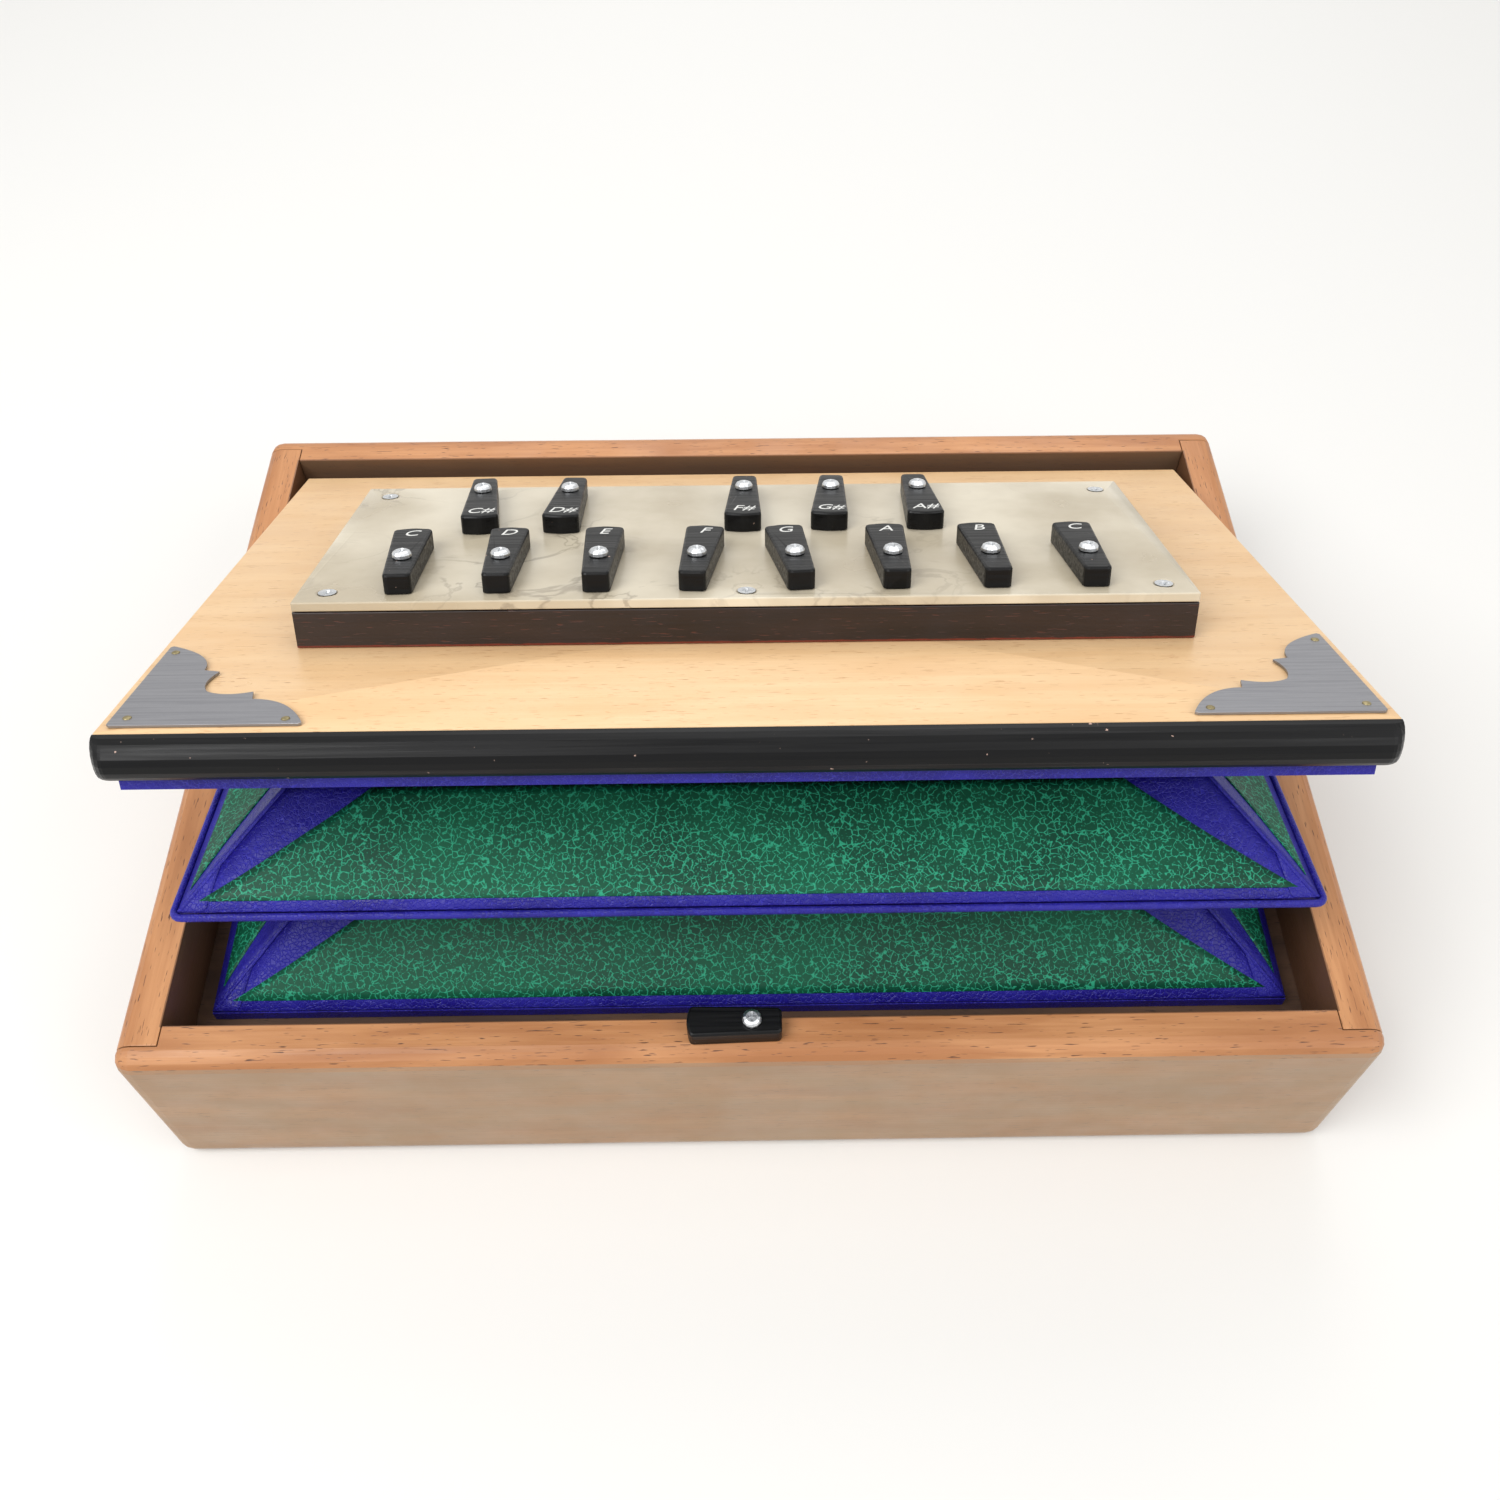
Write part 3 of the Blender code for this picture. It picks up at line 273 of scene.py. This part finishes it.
# %% Leathercloth
def leathercloth():
    """Pale raised worm marks and dots on dark green."""
    m, t, p, at = finish_of("green leathercloth")
    crease = ramp(t, add(t, "Group", {"node_tree": CRINKLE}, Vector=at, Size=430.0).outputs[1], 0.3, 1.0)
    broken = ramp(t, add(t, "TexNoise", Vector=at, Scale=620.0, Detail=1.0).outputs[0], 0.36, 0.5)
    worms = add(t, "Math", {"operation": "MULTIPLY"}, i0=crease, i1=broken).outputs[0]
    dots = ramp(t, add(t, "TexVoronoi", Vector=at, Scale=900.0).outputs["Distance"], 0.12, 0.3, 0.55, 0.0)
    marks = add(t, "Math", {"operation": "MAXIMUM"}, i0=worms, i1=dots).outputs[0]
    cloud = add(t, "TexNoise", Vector=at, Scale=30.0, Detail=3.0).outputs[0]
    ground = mixed(t, ramp(t, cloud, 0.3, 0.7), rgb(0, 62, 44), rgb(0, 84, 58))
    t.links.new(mixed(t, marks, ground, rgb(44, 158, 122)), p.inputs["Base Color"])
    t.links.new(ramp(t, cloud, 0.2, 0.8, 0.42, 0.6), p.inputs["Roughness"])
    p.inputs["Specular IOR Level"].default_value = 0.25
    bumped(t, p, marks, 0.4, 0.00012)
    return m


# %% [markdown]
# The sound panel is cream sheet with a marble figure. Veins lie where a noise crosses its middle value,
# which gives thin wandering lines, and a second noise hides most of them so that they come in clusters.

# %% Marbled sheet
def marble():
    m, t, p, at = finish_of("marbled cream sheet")
    veins = add(t, "TexNoise", Vector=at, Scale=30.0, Detail=7.0, Distortion=1.4).outputs[0]
    centred = add(t, "Math", {"operation": "SUBTRACT"}, i0=veins, i1=0.5).outputs[0]
    line = ramp(t, add(t, "Math", {"operation": "ABSOLUTE"}, i0=centred).outputs[0], 0.0, 0.03, 0.5, 0.0)
    cloud = add(t, "TexNoise", Vector=at, Scale=16.0, Detail=5.0).outputs[0]
    base = mixed(t, ramp(t, cloud, 0.3, 0.7), rgb(224, 214, 192), rgb(184, 171, 146))
    where = ramp(t, add(t, "TexNoise", Vector=at, Scale=11.0, Detail=2.0).outputs[0], 0.4, 0.6)
    thin = add(t, "Math", {"operation": "MULTIPLY"}, i0=line, i1=where).outputs[0]
    t.links.new(mixed(t, thin, base, rgb(128, 116, 100)), p.inputs["Base Color"])
    t.links.new(ramp(t, cloud, 0.2, 0.8, 0.16, 0.3), p.inputs["Roughness"])
    return m


# %% [markdown]
# Screws and plates are zinc, dull in patches. Stretching the noise turns the patches into brush lines.

# %% Metal
def metal(name, colour, rough, grain=(380, 380, 380), keep=0.84):
    m, t, p, at = finish_of(name)
    dull = add(t, "TexNoise", Vector=scaled(t, at, grain), Scale=1.0, Detail=6.0).outputs[0]
    t.links.new(mixed(t, ramp(t, dull, 0.35, 0.75), rgb(*colour), rgb(*(c * keep for c in colour))),
                p.inputs["Base Color"])
    t.links.new(ramp(t, dull, 0.3, 0.7, rough, rough + 0.22), p.inputs["Roughness"])
    p.inputs["Metallic"].default_value = 1.0
    bumped(t, p, dull, 0.1, 0.0001)
    return m


# %% [markdown]
# With the recipes in place, each finish is one line of colours and sizes. The colours are written as they
# look in plain light, from 0 to 255.

# %% Make the finishes
GLOSS = paint("black paint", 0.72)
GREEN = leathercloth()
BLUE = hide("blue leather", (28, 20, 122), (46, 42, 168), 700.0, 0.42, 0.0003)
TAN = hide("tan leather", (170, 128, 92), (192, 152, 114), 900.0, 0.7)
MARBLE = marble()
ZINC = metal("zinc plate", (214, 216, 218), 0.28)
PLATE = metal("satin plate", (150, 150, 154), 0.34, (30, 900, 900), 0.9)
BRASS = metal("rolled brass", (206, 166, 92), 0.24)
NAIL = metal("nail heads", (150, 138, 104), 0.4)
WIRE = metal("spring wire", (150, 150, 152), 0.3)
LETTER = hide("letter fill", (222, 222, 218), (232, 232, 228), 900.0, 0.6, 0.00002)

print("materials so far:", len(bpy.data.materials))

# %% [markdown]
# ## Finish the CAD pieces
# Real wooden and painted edges are never perfectly sharp. The edges could be rounded in the CAD, but a
# weld and a fine bevel do it here without growing the shape, and give each edge its highlight.

# %% Assign finishes
EDGE = 0.0004
BY_SLOT = {"beech": BEECH_X, "veneer": VENEER, "plywood": PLY, "dark_wood": STAINED,
           "black_paint": GLOSS, "cream_sheet": MARBLE, "blue_leather": BLUE, "tan_leather": TAN,
           "green_cloth": GREEN, "zinc": ZINC, "brass": BRASS, "spring_steel": WIRE}
for row in frame["record"]["subparts"]:
    o = NODES[row["node"]]
    o.data.materials.clear()
    side = row["node"] in ("left_rail", "right_rail")
    plate = row["node"].startswith("corner_plate")
    o.data.materials.append(BEECH_Y if side else PLATE if plate else BY_SLOT[row["material_slot"]])
    if row["material_slot"] in ("veneer", "beech", "plywood", "dark_wood", "black_paint", "cream_sheet"):
        weld = o.modifiers.new("weld", "WELD")
        weld.merge_threshold = 0.000002
        edge = o.modifiers.new("fine edge", "BEVEL")
        edge.width = EDGE
        edge.segments = 2
        edge.angle_limit = radians(38)

# %% [markdown]
# A thin line of red glue shows along the reed block's foot. It could be a strip of its own, but it has no
# height to speak of. So the stained wood turns red where a point's height over the foot, blurred by a
# little noise, comes near zero.

# %% Glue line
block = NODES["reed_block"]
foot = min(v.co.dot(Vector((0, sin(LID_OPEN), cos(LID_OPEN)))) for v in block.data.vertices)
t = STAINED.node_tree
shader = t.nodes["Principled BSDF"]
height = add(t, "VectorMath", {"operation": "DOT_PRODUCT"}, i0=add(t, "TexCoord").outputs["Object"],
             i1=(0, sin(LID_OPEN), cos(LID_OPEN))).outputs["Value"]
wander = add(t, "TexNoise", Vector=add(t, "TexCoord").outputs["Object"], Scale=160.0, Detail=3.0).outputs[0]
level = add(t, "Math", {"operation": "MULTIPLY_ADD"}, i0=wander, i1=-0.0012, i2=height).outputs[0]
red = ramp(t, level, foot - 0.0002, foot + 0.0003, 0.9, 0.0)
under = shader.inputs["Base Color"].links[0].from_socket
t.links.new(mixed(t, red, under, rgb(112, 40, 24)), shader.inputs["Base Color"])
print("block foot at", round(foot, 4))

# %% [markdown]
# ## Bellows
# The bellows opens like a fan about the lid's hinge. Keyed shapes could close it, but here each point is
# named by its reach from the hinge and its share of the fan's angle. That share is also how far it
# follows the lid, so the drawn folds close as the real ones do.

# %% Fan geometry
def fan(x, reach, share, lift=0.0):
    a = FAN_START + share * FAN_SPAN
    return Vector((x, HINGE_Y - reach * cos(a) + lift * sin(a), HINGE_Z + reach * sin(a) + lift * cos(a)))


def follow(soft, share_of=None):
    """Blends a soft piece between tray and lid, each point by its own share of the fan."""
    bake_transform(soft, "tray", "lid", start=fan(0, BASE_R, 0), end=fan(0, BASE_R, 1))
    weights = soft.data.attributes["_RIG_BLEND"].data
    for v in soft.data.vertices:
        angle = atan2(v.co.z - HINGE_Z, HINGE_Y - v.co.y)
        share = share_of(v.co) if share_of else (angle - FAN_START) / FAN_SPAN
        weights[v.index].value = min(1.0, max(0.0, share))


print("fan spans", round(FAN_SPAN, 4), "rad; ridge front at", [round(c, 4) for c in fan(0, BASE_R, 0.5)])

# %% [markdown]
# Leather and card are thin sheets laid on a curved surface. A flat grid could be sculpted, but placing
# each of its points by a formula keeps both ends on the CAD's own edges. Extruding the whole grid then
# gives the sheet its thickness and closes it.

# %% Sheets and pieces
def piece(name, bm, material, smooth=True):
    bmesh.ops.recalc_face_normals(bm, faces=bm.faces)
    mesh = bpy.data.meshes.new(name)
    bm.to_mesh(mesh)
    bm.free()
    mesh.materials.append(material)
    mesh.polygons.foreach_set("use_smooth", [smooth] * len(mesh.polygons))
    made = bpy.data.objects.new(name, mesh)
    bpy.context.collection.objects.link(made)
    return made


def drape(bm, columns, rows, place, lift):
    """Lays a grid on the surface place(s, t), s and t from 0 to 1, and thickens it by lift."""
    before = len(bm.faces)
    for v in bmesh.ops.create_grid(bm, x_segments=columns, y_segments=rows, size=0.5)["verts"]:
        v.co = place(v.co.x + 0.5, v.co.y + 0.5)
    bm.faces.ensure_lookup_table()
    raised = bmesh.ops.extrude_face_region(bm, geom=bm.faces[before:])["geom"]
    bmesh.ops.translate(bm, verts=[g for g in raised if isinstance(g, bmesh.types.BMVert)], vec=lift)


trial = bmesh.new()
drape(trial, 2, 2, lambda s, t: fan(s, t, 0), Vector((0, 0, LEAF_T)))
print("a drape of 2 by 2 cells has", len(trial.faces), "faces")
trial.free()

# %% [markdown]
# Each leaf of the real bellows is card, covered in green leathercloth, with blue leather glued over its
# edges and corners. Here a blue skin covers the whole leaf, and green panels lie on its seen face. They
# stop short of the mitred corners, which leaves the gusset, and of the ridge, which leaves the binding. A
# rib follows each mitre, and a small tab of leather is glued down at each corner.

# %% Leaves
SKIN_CELLS, PANEL_CELLS = (40, 8), (60, 12)
PANEL_T, RIB_T, TAB_T = 0.00035, 0.0006, 0.0004
BIND, INNER = 0.075, 0.925


def leaf(name, half, reach, share, lift, in_share, in_lift, up):
    step = FAN_SPAN / 4
    in_reach = reach * cos(step) - sqrt(LEAF_W ** 2 - (reach * sin(step)) ** 2)

    def inset(r):
        return RIDGE_HALF - sqrt(LEAF_W ** 2 - (r * step) ** 2)

    def front(s, t, off=0.0):
        edge = fan(half * (2 * s - 1), reach, share, lift + off)
        return edge.lerp(fan(inset(reach) * (2 * s - 1), in_reach, in_share, in_lift + off), t)

    def flank(side, s, t, off=0.0):
        r = LEAF_END_R + (reach - LEAF_END_R) * s
        r_in = LEAF_END_R * 1.2 + (in_reach - LEAF_END_R * 1.2) * s
        edge = fan(side * half, r, share, lift + off)
        return edge.lerp(fan(side * inset(r), r_in, in_share, in_lift + off), t)

    def panel(sheet, low, high, low_slope, high_slope):
        def place(s, t):
            t = BIND + (INNER - BIND) * t
            start = low + low_slope * t
            s = start + (high - high_slope * t - start) * s
            return sheet(s, t, up * (LEAF_T / 2 + 0.00008 * sin(s * 54 + t * 9) * sin(s * 22)))
        return place

    normal = fan(0, 0, share, 1.0) - fan(0, 0, share, 0.0)
    skin, green = bmesh.new(), bmesh.new()
    sheets = [front] + [lambda s, t, off, q=q: flank(q, s, t, off) for q in (-1, 1)]
    for sheet in sheets:
        drape(skin, *SKIN_CELLS, lambda s, t: sheet(s, t, -LEAF_T / 2), normal * LEAF_T)
    drape(green, *PANEL_CELLS, panel(front, 0.004, 0.996, 0.10, 0.10), normal * up * PANEL_T)
    for sheet in sheets[1:]:
        drape(green, *PANEL_CELLS, panel(sheet, 0.03, 0.985, 0.0, 0.13), normal * up * PANEL_T)
    for corner, inward in ((0, 1), (1, -1)):
        drape(skin, 8, 2, lambda s, t: front(corner + inward * 0.004 * t, s, up * LEAF_T * 0.4),
              normal * up * RIB_T)
        drape(skin, 6, 4, lambda s, t: front(corner + inward * (0.002 + 0.021 * s), (0.37 - 0.34 * s) * t,
                                             up * LEAF_T * 0.4), normal * up * TAB_T)
    leather = piece(name + "_skin", skin, BLUE)
    panels = piece(name + "_panels", green, GREEN)
    follow(leather)
    follow(panels)
    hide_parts(name)
    print(name, len(leather.data.polygons), "skin faces,", len(panels.data.polygons), "panel faces")


PART, END, TUCK = (LEAF_T + GAP) / 2 + 0.00005, LEAF_T / 2 + GAP, RIDGE_DEPTH + GAP
leaf("leaf_1", BASE_HALF - GAP, BASE_R - GAP, 0, END, 0.25, -PART, 1)
leaf("leaf_2", RIDGE_HALF - TUCK, BASE_R - TUCK, 0.5, -PART, 0.25, PART, -1)
leaf("leaf_3", RIDGE_HALF - TUCK, BASE_R - TUCK, 0.5, PART, 0.75, -PART, 1)
leaf("leaf_4", TOP_HALF - GAP, BASE_R - GAP, 1, -END, 0.75, PART, -1)

# %% [markdown]
# The middle ridge is a strip of wood bound in leather. A bevelled bar would do, but a tube laid along a
# path with rounded corners shows the leather pulled round them. The grid is rolled into the tube, its
# seam is merged, and its two ends are filled.

# %% Ridge binding
CORNER_R = 0.004
path = [(-RIDGE_HALF, LEAF_END_R + (BASE_R - CORNER_R - LEAF_END_R) * i / 30) for i in range(31)]
path += [(-RIDGE_HALF + CORNER_R * (1 - cos(a)), BASE_R - CORNER_R * (1 - sin(a))) for a in (0.4, 0.8, 1.2)]
path += [((CORNER_R - RIDGE_HALF) * (1 - i / 30), BASE_R) for i in range(31)]
path += [(-x, r) for x, r in reversed(path[:-1])]


def on_ridge(s, t):
    k = round(s * (len(path) - 1))
    ahead, behind = path[min(k + 1, len(path) - 1)], path[max(k - 1, 0)]
    across = Vector((behind[1] - ahead[1], ahead[0] - behind[0])).normalized()
    turn = radians(360) * t
    grow = RIDGE_DEPTH * 0.48 * (cos(turn) - 1)
    return fan(path[k][0] + across[0] * grow, path[k][1] + across[1] * grow, 0.5, RIDGE_T / 2 * sin(turn))


bm = bmesh.new()
for v in bmesh.ops.create_grid(bm, x_segments=len(path) - 1, y_segments=16, size=0.5)["verts"]:
    v.co = on_ridge(v.co.x + 0.5, v.co.y + 0.5)
bmesh.ops.remove_doubles(bm, verts=bm.verts, dist=0.000001)
bmesh.ops.holes_fill(bm, edges=bm.edges, sides=0)
ridge = piece("ridge_binding", bm, BLUE)
follow(ridge)
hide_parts("middle_ridge")
print("ridge has", len(path), "stations and", len(ridge.data.polygons), "faces")

# %% [markdown]
# The return spring stands inside the bellows and flattens as the lid closes. The CAD's coil is already
# right, so a merged copy of it is enough, with each point following the lid by its height.

# %% Spring
bm = bmesh.new()
bm.from_mesh(NODES["return_spring"].data)
bm.transform(NODES["return_spring"].matrix_world)
bmesh.ops.remove_doubles(bm, verts=bm.verts, dist=0.000002)
spring = piece("coil_spring", bm, WIRE)
SPRING_LOW, SPRING_HIGH = (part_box("return_spring")[i][2] for i in (0, 1))
follow(spring, lambda co: (co.z - SPRING_LOW) / (SPRING_HIGH - SPRING_LOW))
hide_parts("return_spring")
print("spring stands from", round(SPRING_LOW, 4), "to", round(SPRING_HIGH, 4))

# %% [markdown]
# ## Note letters
# Each stop's wide end names its note in white. The letters could be painted on in the material, but a
# mesh stays sharp at any distance. A text curve becomes a mesh, and each vertex is dropped onto the
# stop's own face, so that the letter lies flat on a stop that stands at any angle.

# %% Letters
LETTER_SIZE, LETTER_T, LETTER_IN, DROP = 0.0071, 0.00006, 0.0058, 0.02
UP = Vector((0, sin(LID_OPEN), cos(LID_OPEN)))
ALONG = Vector((0, cos(LID_OPEN), -sin(LID_OPEN)))
for node in sorted(n for n in NODES if n.startswith("stop_")):
    note = node[5:]
    o = NODES[node]
    pts = [o.matrix_world @ v.co for v in o.data.vertices]
    tree = BVHTree.FromPolygons(pts, [p.vertices[:] for p in o.data.polygons])
    low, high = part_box("screw_" + note)
    centre = (Vector(low) + Vector(high)) / 2
    mid = sum(pts, Vector()) / len(pts)
    head = mid - centre
    head = (head - UP * head.dot(UP)).normalized()
    spread = [(p - centre).dot(head) for p in pts]
    at = centre + head * (max(spread) - LETTER_IN)
    upright = head if head.dot(ALONG) > 0 else -head
    text = bpy.data.curves.new("letter", "FONT")
    text.body = note[0].upper() + ("#" if "sharp" in note else "")
    text.size = LETTER_SIZE
    text.shear = 0.25
    text.align_x, text.align_y = "CENTER", "CENTER"
    text.extrude = LETTER_T
    maker = bpy.data.objects.new("letter", text)
    bpy.context.collection.objects.link(maker)
    bpy.context.view_layer.update()
    bm = bmesh.new()
    bm.from_mesh(maker.to_mesh())
    bpy.data.objects.remove(maker)
    right = upright.cross(UP)
    for v in bm.verts:
        spot = at + right * v.co.x + upright * v.co.y
        hit = tree.ray_cast(spot + UP * DROP, -UP)[0]
        v.co = (hit or spot) + UP * v.co.z
    letter = piece("letter_" + note, bm, LETTER, False)
    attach(letter, "note_" + note)
print("letters set")

# %% [markdown]
# ## Corner plates
# The real plates are cut to pointed scrolls. Two curves and a spur, mirrored about the diagonal, draw
# each one in the CAD plate's own place, with three small nails.

# %% Plates and nails
PLATE_T = 0.0008
NAIL_R = 0.0013
ROLL = 0.00025


def curve(a, c, b, n):
    steps = [i / n for i in range(n + 1)]
    return [tuple((1 - t) ** 2 * p + 2 * t * (1 - t) * q + t * t * r for p, q, r in zip(a, c, b))
            for t in steps]


half = curve((54, 0.8), (47, 16), (36, 15.9), 14) + curve((34.9, 20.8), (27, 17.5), (21.3, 21.3), 12)
outline = [(53.2, 0), (0.8, 0), (0, 0.8)] + [(0, 53.2)] + [(v, u) for u, v in half] + half[-2::-1]
for side, label in ((1, "left"), (-1, "right")):
    node = NODES["corner_plate_" + label]
    pts = [node.matrix_world @ v.co for v in node.data.vertices]
    corner_x = side * min(side * q.x for q in pts)
    corner_a = min(q.dot(ALONG) for q in pts)
    seat = min(q.dot(UP) for q in pts)

    def lay(u, v, w):
        across = Vector((corner_x + side * u / 1000, 0, 0))
        return across + ALONG * (corner_a + v / 1000) + UP * (seat + w / 1000)

    bm = bmesh.new()
    bm.faces.new([bm.verts.new(lay(u, v, 0)) for u, v in outline])
    raised = bmesh.ops.extrude_face_region(bm, geom=bm.faces[:])["geom"]
    bmesh.ops.translate(bm, verts=[g for g in raised if isinstance(g, bmesh.types.BMVert)], vec=UP * PLATE_T)
    bmesh.ops.triangulate(bm, faces=bm.faces)
    plate = piece("scrolled_plate_" + label, bm, PLATE, False)
    edge = plate.modifiers.new("rolled edge", "BEVEL")
    edge.width, edge.segments, edge.angle_limit = ROLL, 2, radians(50)
    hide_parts(node.name)
    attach(plate, "lid")
    bm = bmesh.new()
    for u, v in ((4.5, 4.5), (49, 3), (3, 49)):
        flat = Matrix.Diagonal((1, 1, 0.4, 1))
        dome = Matrix.Translation(lay(u, v, 0.8)) @ Matrix.Rotation(-LID_OPEN, 4, "X") @ flat
        bmesh.ops.create_uvsphere(bm, u_segments=16, v_segments=8, radius=NAIL_R, matrix=dome)
    nails = piece("plate_nails_" + label, bm, NAIL)
    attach(nails, "lid")
print("plates cut with", len(outline), "points each")

# %% [markdown]
# ## Floor, light and camera
# The box stands on a plain pale floor in soft studio light. Three wide lamps and a dim white world light
# it, and the world looks brighter only to the camera and in reflections, so the background is white while
# the colours stay as written. The camera has the place and the lens that a fit to the photographed tray
# gave.

# %% Stage
bm = bmesh.new()
bmesh.ops.create_grid(bm, x_segments=1, y_segments=1, size=3)
m, t, p, at_floor = finish_of("pale floor")
p.inputs["Base Color"].default_value = rgb(232, 231, 228)
p.inputs["Roughness"].default_value = 0.7
floor = piece("floor", bm, m, False)
scene = bpy.context.scene
scene.world = bpy.data.worlds.new("studio")
scene.world.use_nodes = True
scene.world.node_tree.nodes["Background"].inputs[0].default_value = (1, 1, 1, 1)
sky = scene.world.node_tree
rays = add(sky, "LightPath").outputs
seen = add(sky, "Math", {"operation": "MAXIMUM"}, i0=rays["Is Camera Ray"],
           i1=rays["Is Glossy Ray"]).outputs[0]
level = add(sky, "Math", {"operation": "MULTIPLY_ADD"}, i0=seen, i1=0.5, i2=0.5).outputs[0]
sky.links.new(level, sky.nodes["Background"].inputs[1])
for name, spot, size, power in (("key", (-0.7, -0.5, 1.3), 0.9, 16), ("fill", (0.9, -0.6, 1.0), 1.0, 6),
                                ("back", (0.1, 1.1, 1.1), 1.0, 6)):
    data = bpy.data.lights.new(name, "AREA")
    data.size, data.energy = size, power
    lamp = bpy.data.objects.new(name, data)
    lamp.location = spot
    lamp.rotation_euler = (-Vector(spot)).to_track_quat("-Z", "Y").to_euler()
    scene.collection.objects.link(lamp)
eye = bpy.data.cameras.new("camera")
eye.lens, eye.sensor_width = 34.47, 36
eye.clip_start = 0.01
camera = bpy.data.objects.new("camera", eye)
camera.location = (-0.00346, -0.32575, 0.49134)
camera.rotation_euler = (radians(35.85), 0, radians(-0.86))
scene.collection.objects.link(camera)
scene.camera = camera
scene.view_settings.view_transform = "Standard"
scene.view_settings.exposure = 0
print("camera at", tuple(round(c, 3) for c in camera.location), "lens", round(eye.lens, 2))
